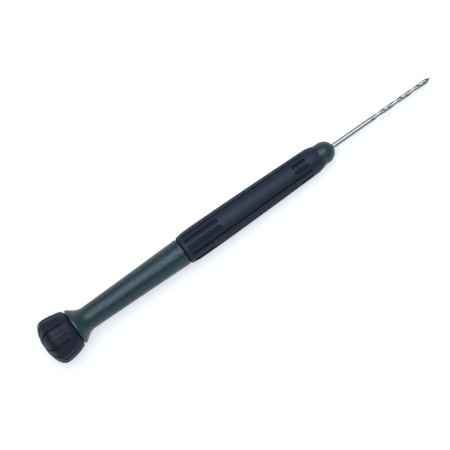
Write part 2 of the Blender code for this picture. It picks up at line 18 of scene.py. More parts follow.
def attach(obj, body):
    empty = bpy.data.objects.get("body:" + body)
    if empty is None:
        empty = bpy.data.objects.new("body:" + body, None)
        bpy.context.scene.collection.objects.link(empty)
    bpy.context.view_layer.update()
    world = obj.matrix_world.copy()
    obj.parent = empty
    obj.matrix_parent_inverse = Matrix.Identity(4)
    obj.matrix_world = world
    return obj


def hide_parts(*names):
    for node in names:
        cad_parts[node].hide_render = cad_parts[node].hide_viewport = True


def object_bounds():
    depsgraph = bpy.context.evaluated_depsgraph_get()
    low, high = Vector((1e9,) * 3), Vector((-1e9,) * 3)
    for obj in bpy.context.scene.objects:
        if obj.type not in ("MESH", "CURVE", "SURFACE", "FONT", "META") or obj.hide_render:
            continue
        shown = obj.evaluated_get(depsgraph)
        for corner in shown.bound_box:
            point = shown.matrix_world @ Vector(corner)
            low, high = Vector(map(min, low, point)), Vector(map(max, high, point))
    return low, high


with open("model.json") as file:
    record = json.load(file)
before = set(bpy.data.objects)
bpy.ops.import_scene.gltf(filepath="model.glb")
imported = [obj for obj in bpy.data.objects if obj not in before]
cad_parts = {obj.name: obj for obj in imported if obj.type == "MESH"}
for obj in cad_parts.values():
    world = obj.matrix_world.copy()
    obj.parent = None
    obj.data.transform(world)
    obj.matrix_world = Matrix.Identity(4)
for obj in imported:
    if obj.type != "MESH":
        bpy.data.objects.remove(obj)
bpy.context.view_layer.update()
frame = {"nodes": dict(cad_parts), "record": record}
print("CAD nodes:", sorted(frame["nodes"]))

# %% [markdown]
# ## The tool's own axis
# Every outer piece of the drill is round, so its shape is easiest to give along its own axis: a station is
# the distance from the butt, and an angle says how far round. The record's mount at the butt gives one end
# of that axis and its direction. One matrix then lays a finished mesh down where the CAD model lies.
# Angle 0 points at the floor, and angles grow towards +Y.

# %% Tool axis
PALM_END = frame["record"]["mounts"][0]
BUTT = Vector(PALM_END["pos_m"])
AXIS = -Vector(PALM_END["axis"]).normalized()
ACROSS = Vector((0, 1, 0))
DOWN = ACROSS.cross(AXIS)
TOOL_PLACE = Matrix.Translation(BUTT) @ Matrix((DOWN, ACROSS, AXIS)).transposed().to_4x4()


def on_axis(station):
    """The point of the tool's axis at a station."""
    return BUTT + AXIS * station


print("butt at", [round(1000 * x, 2) for x in BUTT], "mm, axis", [round(x, 4) for x in AXIS])

# %% [markdown]
# ## Camera
# The photograph looks down on the drill from a long way off, with the tip up and to the right. The slight
# narrowing towards the tip gives the focal length, and the place of the tool in the picture gives the point
# that the camera looks at. Working it out from these few numbers keeps the view easy to adjust.

# %% Camera
PICTURE_PIXELS = 450
SENSOR_MM = 36
FOCAL_PIXELS = 1960
VIEW_AZIMUTH = math.radians(-35.4)
VIEW_ELEVATION = math.radians(83.7)
VIEW_DISTANCE = 0.7056
AIM_STATION = 0.0780
AIM_BESIDE = Vector((0, -0.00093, 0))

view_back = Vector((
    math.sin(VIEW_AZIMUTH) * math.cos(VIEW_ELEVATION),
    -math.cos(VIEW_AZIMUTH) * math.cos(VIEW_ELEVATION),
    math.sin(VIEW_ELEVATION),
))
lens = bpy.data.cameras.new("camera")
lens.sensor_width = SENSOR_MM
lens.lens = FOCAL_PIXELS / PICTURE_PIXELS * SENSOR_MM
camera = bpy.data.objects.new("camera", lens)
camera.location = on_axis(AIM_STATION) + AIM_BESIDE + view_back * VIEW_DISTANCE
camera.rotation_mode = "QUATERNION"
camera.rotation_quaternion = (-view_back).to_track_quat("-Z", "Y")
bpy.context.scene.collection.objects.link(camera)
bpy.context.scene.camera = camera
print("lens", round(lens.lens, 1), "mm, camera at", [round(x, 3) for x in camera.location])

# %% [markdown]
# ## Sums on sockets
# Materials and geometry trees are full of small sums. Wired by hand, each one takes several lines, so one
# small class wraps a socket and lets Python's own operators add the Math nodes. Any other node comes from
# its node method: the settings go first, because some of them change which sockets exist.

# %% Wire class


class Wire:
    """A socket in a node tree that Python sums can use."""

    def __init__(self, tree, socket=None):
        self.tree = tree
        self.socket = socket

    def node(self, kind, settings=None, sockets=None, out=0):
        """Add a node: its settings, then values or wires for its sockets. Gives the wire of one output."""
        made = self.tree.nodes.new(kind)
        for name, value in (settings or {}).items():
            setattr(made, name, value)
        for name, value in (sockets or {}).items():
            if isinstance(value, Wire):
                self.tree.links.new(value.socket, made.inputs[name])
            else:
                made.inputs[name].default_value = value
        return Wire(self.tree, None if out is None else made.outputs[out])

    def maths(self, operation, *values):
        """Add a Math node."""
        return self.node("ShaderNodeMath", {"operation": operation}, dict(enumerate(values)))

    def __add__(self, other):
        return self.maths("ADD", self, other)

    __radd__ = __add__

    def __sub__(self, other):
        return self.maths("SUBTRACT", self, other)

    def __rsub__(self, other):
        return self.maths("SUBTRACT", other, self)

    def __mul__(self, other):
        return self.maths("MULTIPLY", self, other)

    __rmul__ = __mul__

    def __truediv__(self, other):
        return self.maths("DIVIDE", self, other)

    def __rtruediv__(self, other):
        return self.maths("DIVIDE", other, self)

    def __pow__(self, other):
        return self.maths("POWER", self, other)

    def at_least(self, limit):
        """This value, but never under the limit."""
        return self.maths("MAXIMUM", self, limit)

    def at_most(self, limit):
        """This value, but never over the limit."""
        return self.maths("MINIMUM", self, limit)

    def step(self, low, high):
        """A soft step from 0 at low to 1 at high."""
        return self.node(
            "ShaderNodeMapRange", {"interpolation_type": "SMOOTHSTEP"},
            {"Value": self, "From Min": low, "From Max": high, "To Min": 0.0, "To Max": 1.0})

    def mix(self, first, second):
        """Mix two colours, with this wire as the share of the second."""
        return self.node("ShaderNodeMix", {"data_type": "RGBA"}, {0: self, 6: first, 7: second}, 2)


print("Wire adds Math nodes for + - * / and **")

# %% [markdown]
# ## Finishes
# Each finish starts as one Principled BSDF. What is the same all over is set on its own sockets, and what
# varies is wired in. Patterns read Object coordinates, in metres, so a grain of a fifth of a millimetre
# needs a noise scale in the thousands.

# %% Finish helpers
GRAIN_ROUGHNESS = 0.55


def new_finish(name, constants):
    """A material with one Principled BSDF: gives the material, its shader and a wire to build from."""
    material = bpy.data.materials.new(name)
    material.use_nodes = True
    shader = material.node_tree.nodes["Principled BSDF"]
    for socket, value in constants.items():
        shader.inputs[socket].default_value = value
    return material, shader, Wire(material.node_tree)


def feed(shader, socket, wire):
    """Plug a wire into one of a shader's sockets."""
    wire.tree.links.new(wire.socket, shader.inputs[socket])


def places(sheet):
    """Object coordinates of a surface."""
    return sheet.node("ShaderNodeTexCoord", out="Object")


def grain(sheet, size, detail=2.0):
    """Noise from 0 to 1 whose lumps are about size metres across."""
    sockets = {"Vector": places(sheet), "Scale": 1 / size, "Detail": detail, "Roughness": GRAIN_ROUGHNESS}
    return sheet.node("ShaderNodeTexNoise", {"noise_dimensions": "3D"}, sockets, "Fac")


def bump(sheet, height, distance):
    """A Bump node on a height wire, for a Normal socket."""
    sockets = {"Height": height, "Distance": distance, "Strength": 1.0}
    return sheet.node("ShaderNodeBump", None, sockets, "Normal")


def attribute(sheet, name):
    """A number stored on the mesh's own vertices."""
    return sheet.node("ShaderNodeAttribute", {"attribute_name": name}, out="Fac")


print("finishes are built on Object coordinates, in metres")

# %% [markdown]
# ## Floor and light
# The photograph is a plain product shot on a white table, with only a thin soft shadow. The highlights tell
# where its light is: a soft box above and a little to the upper left, a pale room all round, one dark patch
# above the lower right, where a photographer would stand, and a gleam low down on that same side. An area
# lamp and a world with that patch and that gleam give the same highlights. The table has to look white
# without flooding the drill with light, so a share of it simply glows, for rays from the camera and from
# shiny surfaces only. The rest is matt and takes the shadow.

# %% Table top
FLOOR_SIZE = 6.0
FLOOR_COLOUR = (0.98, 0.98, 0.97, 1)
GLOW_COLOUR = (0.9, 0.955, 1.0, 1)
GLOW_STRENGTH = 1.26
GLOW_SHARE = 0.45


def seen_directly(sheet):
    """1 for rays from the camera, a reflection or a glass, and 0 for light that is on its way."""
    camera_ray = sheet.node("ShaderNodeLightPath", out="Is Camera Ray")
    rays = camera_ray.socket.node.outputs
    mirrored = Wire(sheet.tree, rays["Is Glossy Ray"])
    through = Wire(sheet.tree, rays["Is Transmission Ray"])
    return camera_ray.at_least(mirrored).at_least(through)


def floor_finish():
    """Matt white with a share of glow."""
    material = bpy.data.materials.new("table_white")
    material.use_nodes = True
    material.node_tree.nodes.clear()
    sheet = Wire(material.node_tree)
    matt = sheet.node("ShaderNodeBsdfDiffuse", None, {"Color": FLOOR_COLOUR})
    glow = sheet.node("ShaderNodeEmission", None, {"Color": GLOW_COLOUR, "Strength": GLOW_STRENGTH})
    share = seen_directly(sheet) * GLOW_SHARE
    both = sheet.node("ShaderNodeMixShader", None, {0: share, 1: matt, 2: glow})
    sheet.node("ShaderNodeOutputMaterial", None, {"Surface": both}, out=None)
    return material


def add_floor(height):
    """A large square table top at a height."""
    half = FLOOR_SIZE / 2
    corners = [(-half, -half, height), (half, -half, height), (half, half, height), (-half, half, height)]
    mesh = bpy.data.meshes.new("table_top")
    mesh.from_pydata(corners, [], [(0, 1, 2, 3)])
    mesh.materials.append(floor_finish())
    floor = bpy.data.objects.new("table_top", mesh)
    bpy.context.scene.collection.objects.link(floor)


print("the table glows by a share of", GLOW_SHARE)

# %% Lamp
LAMP_SIZE = 1.0
LAMP_DISTANCE = 1.0
LAMP_LEAN = math.radians(13)
LAMP_WATTS = 11.5
LAMP_COLOUR = (0.97, 0.985, 1.0)


def leaning(angle):
    """The direction that leans by an angle from straight up to +Y, the upper left of the picture."""
    return Vector((0, math.sin(angle), math.cos(angle)))


def add_lamp():
    """The broad soft light, which leans to the upper left."""
    light = bpy.data.lights.new("softbox", "AREA")
    light.shape = "SQUARE"
    light.size = LAMP_SIZE
    light.energy = LAMP_WATTS
    light.color = LAMP_COLOUR
    lamp = bpy.data.objects.new("softbox", light)
    away = leaning(LAMP_LEAN)
    lamp.location = on_axis(AIM_STATION) + away * LAMP_DISTANCE
    lamp.rotation_mode = "QUATERNION"
    lamp.rotation_quaternion = (-away).to_track_quat("-Z", "Y")
    lamp.visible_camera = False
    bpy.context.scene.collection.objects.link(lamp)


add_lamp()
print("softbox of", LAMP_WATTS, "W")

# %% Room
ROOM_COLOUR = (0.92, 0.96, 1.0, 1)
ROOM_LIGHT = 0.38
DARK_LEAN = math.radians(-36)
DARK_EDGE = (0.91, 0.985)
DARK_LIGHT = 0.0
GLEAM_LEAN = math.radians(-76)
GLEAM_EDGE = (0.87, 0.985)
GLEAM_LIGHT = 1.3


def towards(heading, direction):
    """The cosine between a heading and a fixed direction."""
    return heading.node(
        "ShaderNodeVectorMath", {"operation": "DOT_PRODUCT"}, {0: heading, 1: direction}, "Value")


def set_room():
    """The rest of the room: pale, with one dark patch and a gleam low down below it."""
    world = bpy.data.worlds.new("room")
    bpy.context.scene.world = world
    world.use_nodes = True
    sheet = Wire(world.node_tree)
    background = world.node_tree.nodes["Background"]
    background.inputs["Color"].default_value = ROOM_COLOUR
    heading = sheet.node("ShaderNodeTexCoord", out="Generated")
    dark = towards(heading, leaning(DARK_LEAN)).step(*DARK_EDGE)
    bright = towards(heading, leaning(GLEAM_LEAN)).step(*GLEAM_EDGE)
    change = dark * (DARK_LIGHT - ROOM_LIGHT) + bright * (GLEAM_LIGHT - ROOM_LIGHT)
    feed(background, "Strength", change + ROOM_LIGHT)


set_room()
bpy.context.scene.view_settings.view_transform = "Standard"
print("room at", ROOM_LIGHT)

# %% [markdown]
# ## Turned outlines
# The handle, the grip and the knob are all round about the axis. Each gets an outline of (radius, station)
# points, and one function sweeps it through a list of angles. Corners that a mould would round are given a
# fillet. A depth may be pressed into the swept surface along its own normal, which makes the recesses of the
# grip and the knob out of real geometry.

# %% Outline helpers
FILLET_STEPS = 6
FILLET_REACH = 0.45


def smooth_step(x):
    """0 below 0, 1 above 1, and a smooth S between."""
    x = np.clip(x, 0, 1)
    return x * x * (3 - 2 * x)


def fillet(outline, corners):
    """Round the corners of an outline: corners maps a point's index to its fillet radius."""
    points = []
    for i, here in enumerate(outline):
        if i not in corners:
            points.append(here)
            continue
        here = np.array(here)
        back = np.array(outline[i - 1]) - here
        ahead = np.array(outline[(i + 1) % len(outline)]) - here
        shorter = min(np.linalg.norm(back), np.linalg.norm(ahead))
        reach = min(corners[i], FILLET_REACH * shorter)
        first = here + reach * back / np.linalg.norm(back)
        last = here + reach * ahead / np.linalg.norm(ahead)
        for t in np.linspace(0, 1, FILLET_STEPS + 1):
            points.append(tuple((1 - t) ** 2 * first + 2 * t * (1 - t) * here + t ** 2 * last))
    return points


def outline_normals(outline, closed):
    """Unit normals of an outline, to its left-hand side."""
    if closed:
        along = np.roll(outline, -1, axis=0) - np.roll(outline, 1, axis=0)
    else:
        along = np.gradient(outline, axis=0)
    along /= np.linalg.norm(along, axis=1)[:, None]
    return np.stack([-along[:, 1], along[:, 0]], axis=1)


def sweep(name, outline, angles, closed, full_turn, depth=None):
    """A mesh swept round the axis, with an optional depth at each outline point and angle."""
    outline = np.array(outline)
    radius = np.repeat(outline[:, :1], len(angles), axis=1)
    station = np.repeat(outline[:, 1:], len(angles), axis=1)
    if depth is not None:
        normal = outline_normals(outline, closed)
        radius = radius - normal[:, :1] * depth
        station = station - normal[:, 1:] * depth
    points = np.stack([radius * np.cos(angles), radius * np.sin(angles), station], axis=-1)
    rows, columns = radius.shape
    faces = []
    for i in range(rows if closed else rows - 1):
        row, next_row = i * columns, (i + 1) % rows * columns
        for j in range(columns if full_turn else columns - 1):
            j_next = (j + 1) % columns
            faces.append((row + j, row + j_next, next_row + j_next, next_row + j))
    mesh = bpy.data.meshes.new(name)
    mesh.from_pydata(points.reshape(-1, 3).tolist(), [], faces)
    return mesh


print("fillets have", FILLET_STEPS, "steps")

# %% Finishing a mesh
WELD = 1e-7
SHARP_ANGLE = math.radians(40)


def close_mesh(mesh):
    """Weld seams and poles, point every face out, and shade smooth between sharp edges."""
    shape = bmesh.new()
    shape.from_mesh(mesh)
    bmesh.ops.remove_doubles(shape, verts=shape.verts, dist=WELD)
    bmesh.ops.dissolve_degenerate(shape, edges=shape.edges, dist=WELD)
    bmesh.ops.recalc_face_normals(shape, faces=shape.faces)
    open_edges = sum(1 for edge in shape.edges if len(edge.link_faces) != 2)
    volume = shape.calc_volume(signed=True)
    if volume < 0:
        bmesh.ops.reverse_faces(shape, faces=shape.faces)
    shape.to_mesh(mesh)
    shape.free()
    mesh.shade_smooth()
    mesh.set_sharp_from_angle(angle=SHARP_ANGLE)
    return open_edges, abs(volume)


def place_piece(name, mesh, material, body, node):
    """Lay a mesh down on the tool's axis as the piece that stands for a CAD node."""
    open_edges, volume = close_mesh(mesh)
    mesh.transform(TOOL_PLACE)
    if material.name not in mesh.materials:
        mesh.materials.clear()
        mesh.materials.append(material)
    piece = bpy.data.objects.new(name, mesh)
    bpy.context.scene.collection.objects.link(piece)
    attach(piece, body)
    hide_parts(node)
    print(f"{name}: {len(mesh.polygons)} faces, {open_edges} open edges, {volume * 1e9:.1f} mm3")


print("points closer than", WELD, "m are welded")

# %% [markdown]
# ## Green handle moulding
# The handle is one dark green moulding: a flange that faces the knob, a slim neck that flares into it, a
# seat under the grip, and a rounded nose that holds the drill. It is turned from one outline. The finish is
# a satin plastic from a spark-eroded mould. Its fine spots are duller and lighter than the rest, so the
# highlight breaks up into a speckle, and the colour drifts a little along the moulding.

# %% Green plastic
GREEN_DARK = (0.0085, 0.0235, 0.033, 1)
GREEN_LIGHT = (0.0155, 0.0355, 0.046, 1)
GREEN_TINT = (0.72, 0.88, 1.0, 1)
GREEN_SHINE = 0.42
GREEN_ROUGHNESS = 0.16
GREEN_DRIFT = 0.012
GREEN_GRAIN = 0.0005
GREEN_RELIEF = 0.00011
SPOT_EDGE = (0.4, 0.6)
SPOT_SHARE = 0.25
SPOT_ROUGHNESS = 0.3


def green_plastic():
    """Satin dark green plastic with a moulded grain of duller, lighter spots."""
    material, shader, sheet = new_finish(
        "green_plastic", {"Specular IOR Level": GREEN_SHINE, "Specular Tint": GREEN_TINT})
    drift = grain(sheet, GREEN_DRIFT, detail=3.0)
    fine = grain(sheet, GREEN_GRAIN)
    spots = fine.step(*SPOT_EDGE)
    shade = drift * (1 - SPOT_SHARE) + spots * SPOT_SHARE
    feed(shader, "Base Color", shade.mix(GREEN_DARK, GREEN_LIGHT))
    feed(shader, "Roughness", spots * SPOT_ROUGHNESS + GREEN_ROUGHNESS)
    feed(shader, "Normal", bump(sheet, fine, GREEN_RELIEF))
    return material


GREEN = green_plastic()
print("green plastic ready")

# %% Handle outline
FLANGE_FACE = 0.0128
FLANGE_RADIUS = 0.00695
FLANGE_RIM = 0.0008
FLARE_LENGTH = 0.0052
FLARE_BIAS = 0.65
NECK_WAIST = 0.00438
NECK_END = 0.00517
NECK_TAPER_POWER = 1.2
GRIP_REAR = 0.0599
GRIP_FRONT = 0.1200
SEAT_RADIUS = 0.0038
NOSE_FACE = 0.1204
NOSE_RADIUS = 0.00417
NOSE_ROUND_START = 0.1222
NOSE_ROUND = 0.0045
SOCKET_RADIUS = 0.0011
SOCKET_END = 0.1005
POCKET_RADIUS = 0.0029
POCKET_END = 0.0219
RECESS_RADIUS = 0.0062
RECESS_FLOOR = 0.0131
FLANGE_FILLET = 0.00045
FACE_FILLET = 0.00012
SMALL_FILLET = 0.00012
FLARE_ROWS = 30
NECK_ROWS = 60
NOSE_ROWS = 30


def flare_points():
    """The neck's hollow curve out to the flange."""
    share = np.linspace(0, 1, FLARE_ROWS)[1:]
    drop = 0.5 - 0.5 * np.cos(np.pi * share ** FLARE_BIAS)
    radius = FLANGE_RADIUS - (FLANGE_RADIUS - NECK_WAIST) * drop
    return list(zip(radius, FLANGE_FACE + FLANGE_RIM + FLARE_LENGTH * share))


def neck_points():
    """The neck, which thickens a little towards the grip."""
    share = np.linspace(0, 1, NECK_ROWS)[1:-1]
    start = FLANGE_FACE + FLANGE_RIM + FLARE_LENGTH
    radius = NECK_WAIST + (NECK_END - NECK_WAIST) * share ** NECK_TAPER_POWER
    return list(zip(radius, start + (GRIP_REAR - start) * share))


def nose_points():
    """The rounded nose, up to the mouth of the drill's socket."""
    angle = np.linspace(0, math.acos(SOCKET_RADIUS / NOSE_RADIUS), NOSE_ROWS)
    return list(zip(NOSE_RADIUS * np.cos(angle), NOSE_ROUND_START + NOSE_ROUND * np.sin(angle)))


def handle_outline():
    """The whole outline of the moulding, from the floor of the rear pocket round to the drill's socket."""
    tail = [(0, POCKET_END), (POCKET_RADIUS, POCKET_END), (POCKET_RADIUS, RECESS_FLOOR)]
    tail += [(RECESS_RADIUS, RECESS_FLOOR), (RECESS_RADIUS, FLANGE_FACE)]
    flange = [(FLANGE_RADIUS, FLANGE_FACE), (FLANGE_RADIUS, FLANGE_FACE + FLANGE_RIM)]
    seat = [(NECK_END, GRIP_REAR), (SEAT_RADIUS, GRIP_REAR)]
    seat += [(SEAT_RADIUS, NOSE_FACE), (NOSE_RADIUS, NOSE_FACE)]
    socket = [(SOCKET_RADIUS, SOCKET_END), (0, SOCKET_END)]
    rear = tail + flange + flare_points() + neck_points()
    rim, shoulder = len(tail), len(rear) + len(seat) - 1
    corners = {rim: FACE_FILLET, rim + 1: FLANGE_FILLET, len(rear): SMALL_FILLET, shoulder: SMALL_FILLET}
    return fillet(rear + seat + nose_points() + socket, corners)


print("handle outline has", len(handle_outline()), "points")

# %% Handle piece
HANDLE_SIDES = 144
round_angles = np.linspace(0, 2 * np.pi, HANDLE_SIDES, endpoint=False)
handle_mesh = sweep("handle_moulding", handle_outline(), round_angles, closed=False, full_turn=True)
place_piece("handle_moulding", handle_mesh, GREEN, "handle", "handle_core")

# %% [markdown]
# ## Repeating a pattern round the axis
# The grip's pattern repeats three times round the tool and the knob's five times. Only one period of each
# is modelled, as a sector, and a small Geometry Nodes tree sets copies of it round the axis, makes them real
# and welds their seams. The tree takes the count as an input, so both pieces share it.

# %% Tree helpers


def new_tree(name, inputs):
    """A geometry tree with named inputs: gives the tree, and wires by name."""
    tree = bpy.data.node_groups.new(name, "GeometryNodeTree")
    for label, kind in inputs.items():
        tree.interface.new_socket(label, in_out="INPUT", socket_type=kind)
    tree.interface.new_socket("Geometry", in_out="OUTPUT", socket_type="NodeSocketGeometry")
    start = tree.nodes.new("NodeGroupInput")
    wires = {label: Wire(tree, start.outputs[label]) for label in inputs}
    return tree, wires


def end_tree(shape, material):
    """Close a tree: make instances real, weld what meets, set the material and hand the mesh out."""
    real = shape.node("GeometryNodeRealizeInstances", None, {"Geometry": shape})
    welded = real.node("GeometryNodeMergeByDistance", None, {"Geometry": real, "Distance": WELD})
    painted = welded.node("GeometryNodeSetMaterial", None, {"Geometry": welded, "Material": material})
    painted.node("NodeGroupOutput", None, {"Geometry": painted}, out=None)


def run_tree(name, mesh, tree, values):
    """Run a geometry tree on a mesh with the given inputs, and give the result as a plain mesh."""
    carrier = bpy.data.objects.new(name, mesh)
    bpy.context.scene.collection.objects.link(carrier)
    modifier = carrier.modifiers.new(name, "NODES")
    modifier.node_group = tree
    for item in tree.interface.items_tree:
        if item.in_out == "INPUT" and item.name in values:
            modifier[item.identifier] = values[item.name]
    evaluated = carrier.evaluated_get(bpy.context.evaluated_depsgraph_get())
    made = bpy.data.meshes.new_from_object(evaluated)
    carrier.modifiers.clear()
    bpy.data.objects.remove(carrier)
    made.name = name
    return made


print("trees take named inputs and end in a plain mesh")

# %% Repeat tree


def repeat_tree():
    """A tree that sets copies of a sector evenly round the axis."""
    tree, given = new_tree("repeat_round_axis", {
        "Geometry": "NodeSocketGeometry",
        "Count": "NodeSocketInt",
        "Material": "NodeSocketMaterial",
    })
    points = given["Count"].node("GeometryNodePoints", None, {"Count": given["Count"]})
    index = points.node("GeometryNodeInputIndex")
    angle = index * math.tau / given["Count"]
    turn = angle.node("FunctionNodeAxisAngleToRotation", None, {"Axis": (0, 0, 1), "Angle": angle})
    copies = points.node("GeometryNodeInstanceOnPoints", None, {
        "Points": points, "Instance": given["Geometry"], "Rotation": turn})
    end_tree(copies, given["Material"])
    return tree


REPEAT = repeat_tree()
print("repeat tree has", len(REPEAT.nodes), "nodes")

# %% [markdown]
# ## Pressed patches
# Finger pockets, grooves and windows are all patches pressed into a surface: a flat or ramped floor, a short
# sloping wall and rounded corners. A patch is known by how far a point lies inside its sides and inside its
# ends, both measured on the surface in metres. Lines of the mesh crowd together at the walls, so that the
# walls are crisp and the open surface stays light.

# %% Patch helpers
LEAST_SPACING = 0.45
DECIMALS = 9


def patch(side, end, corner, wall):
    """1 inside a patch with rounded corners, 0 outside, and a soft wall of the given width between."""
    rounded = corner - np.hypot(np.maximum(corner - side, 0), np.maximum(corner - end, 0))
    distance = np.where((side < corner) & (end < corner), rounded, np.minimum(side, end))
    return smooth_step(distance / wall + 0.5)


def wall_share(share):
    """1 half-way down a patch's wall, 0 on the floor and outside."""
    return 4 * share * (1 - share)


def store(mesh, name, values):
    """Store a number for each vertex of a mesh."""
    layer = mesh.attributes.new(name, "FLOAT", "POINT")
    layer.data.foreach_set("value", values.astype(np.float32).ravel())


def crowd(low, high, coarse, edges, fine, reach):
    """Values from low to high, coarse apart, with fine ones within reach of each edge."""
    values = list(np.linspace(low, high, max(2, round((high - low) / coarse) + 1)))
    for edge in edges:
        values += list(np.arange(edge - reach, edge + reach + fine / 2, fine))
    values = np.unique(np.round([x for x in values if low <= x <= high], DECIMALS))
    keep = [values[0]]
    for x in values[1:-1]:
        if min(x - keep[-1], values[-1] - x) > LEAST_SPACING * fine:
            keep.append(x)
    return np.array(keep + [values[-1]])


def wrapped(angle, period):
    """An angle brought to within half a period of 0."""
    return (angle + period / 2) % period - period / 2


print("mesh lines keep", LEAST_SPACING, "of the fine spacing or more")

# %% [markdown]
# ## Soft grip
# The grip is a black rubber sleeve. Three smooth panels run along it, each edged by a long groove. At both
# ends of every panel two pockets, deepest at their outer sides, leave a raised tongue for the fingertips.
# The strips between the panels have shorter pockets and a few fine lines. The middle of the panels is plain.
# A thin lip at the rear fills the step down to the neck, and painted shade on it makes the dark seam there.
# Painted shade also darkens the grooves, the pocket walls and the fine lines.
# Rubber is matt with a dull sheen, and its grain is finer than the handle's.

# %% Black rubber
RUBBER_DARK = (0.0058, 0.0105, 0.023, 1)
RUBBER_LIGHT = (0.009, 0.0155, 0.031, 1)
RUBBER_TINT = (0.64, 0.8, 1.0, 1)
# Colour of the dark matt shader: painted shade in creases and seams, and a small matt share all over.
MATT_AND_PAINTED_SHADE_BLACK = (0.004, 0.006, 0.013, 1)
MATT_SHARE = 0.3
RUBBER_DRIFT = 0.006
RUBBER_GRAIN = 0.00024
RUBBER_RELIEF = 0.00003
RUBBER_SPREAD = 0.14


def rubber(name, dark, light, shine, roughness):
    """Matt black rubber with a fine grain, and painted shade in its grooves, on walls and at seams."""
    material, shader, sheet = new_finish(name, {"Specular IOR Level": shine, "Specular Tint": RUBBER_TINT})
    drift = grain(sheet, RUBBER_DRIFT, detail=3.0)
    fine = grain(sheet, RUBBER_GRAIN)
    # A stored mask turns the rubber to the dark matt shader: painted shade in grooves, on walls and at
    # seams.
    matt = attribute(sheet, "painted_shade") * (1 - MATT_SHARE) + MATT_SHARE
    feed(shader, "Base Color", drift.mix(dark, light))
    feed(shader, "Roughness", fine * RUBBER_SPREAD + roughness)
    feed(shader, "Normal", bump(sheet, fine, RUBBER_RELIEF))
    outside = Wire(sheet.tree, shader.outputs["BSDF"])
    inside = sheet.node("ShaderNodeBsdfDiffuse", None, {"Color": MATT_AND_PAINTED_SHADE_BLACK})
    both = sheet.node("ShaderNodeMixShader", None, {0: matt, 1: outside, 2: inside})
    feed(sheet.tree.nodes["Material Output"], "Surface", both)
    return material


BLACK = rubber("black_rubber", RUBBER_DARK, RUBBER_LIGHT, shine=0.56, roughness=0.46)
print("black rubber ready")

# %% Grip outline
FIT = 0.0002
GRIP_BORE = 0.0040
GRIP_RADIUS = 0.00585
GRIP_FRONT_RADIUS = 0.00492
GRIP_CROWN = 0.0094
GRIP_REAR_ROUND = 0.0055
GRIP_REAR_DROP = 0.00062
GRIP_TAPER_POWER = 1.4
GRIP_FRONT_ROUND = 0.0027
GRIP_FRONT_DROP = 0.00052
GRIP_FILLET = 0.0003
GRIP_START = 0.0605
LIP_RADIUS = 0.0048
LIP_GAP = 0.0001
LIP_START = GRIP_REAR + LIP_GAP


def grip_radius(station):
    """Radius of the grip: rounded rear, a crown, a long taper and a rounded front shoulder."""
    rear = np.maximum((GRIP_REAR + GRIP_REAR_ROUND - station) / GRIP_REAR_ROUND, 0)
    crown = GRIP_REAR + GRIP_CROWN
    taper = np.maximum((station - crown) / (GRIP_FRONT - crown), 0)
    front = np.maximum((station - GRIP_FRONT + GRIP_FRONT_ROUND) / GRIP_FRONT_ROUND, 0)
    narrowing = (GRIP_RADIUS - GRIP_FRONT_RADIUS) * taper ** GRIP_TAPER_POWER
    return GRIP_RADIUS - GRIP_REAR_DROP * rear ** 2 - narrowing - GRIP_FRONT_DROP * front ** 2


print("grip is", round(2000 * GRIP_RADIUS, 2), "mm thick at its crown")

# %% Grip pattern
PANEL_COUNT = 3
PANEL_TURN = math.tau / PANEL_COUNT
GRIP_PHASE = math.radians(176.5)
PANEL_TONGUE = math.radians(4.7)
PANEL_POCKET = math.radians(15.7)
STRIP_TONGUE = math.radians(7)
STRIP_POCKET = math.radians(8)
POCKET_DEPTH = 0.0008
# The three DARKNESS values set how much painted shade the pocket walls, grooves and fine lines get.
POCKET_DARKNESS = 0.1
POCKET_SHALLOW = 0.6
POCKET_SLOPE = 0.35
POCKET_CORNER = 0.0004
POCKET_WALL = 0.00026
REAR_POCKETS = 0.0621
PANEL_POCKETS_END = 0.0759
STRIP_POCKETS_END = 0.0709
FRONT_POCKETS = 0.1091
FRONT_POCKETS_END = 0.1146
GROOVE_OFFSET = math.radians(41)
GROOVE_HALF = math.radians(3)
GROOVE_DEPTH = 0.0005
GROOVE_DARKNESS = 0.8
GROOVE_WALL = 0.00035
LINE_OFFSETS = [math.radians(a) for a in (-15, -5, 5, 15)]
LINE_HALF = 0.00011
LINE_DEPTH = 0.00009
LINE_DARKNESS = 0.45
LINE_START = 0.0722
LINE_END = 0.1080


def pocket_pair(offset, tongue, width, radius, ends):
    """A pair of pockets, one on each side of a tongue: depth, growing outwards, share and painted wall
    shade.
    """
    from_tongue = np.abs(offset) - tongue
    side = radius * (width / 2 - np.abs(from_tongue - width / 2))
    ramp = POCKET_SHALLOW + (1 - POCKET_SHALLOW) * np.clip(from_tongue / width, 0, 1)
    share = patch(side, ends, POCKET_CORNER, POCKET_WALL)
    return POCKET_DEPTH * ramp, share, POCKET_DARKNESS * ramp * wall_share(share)


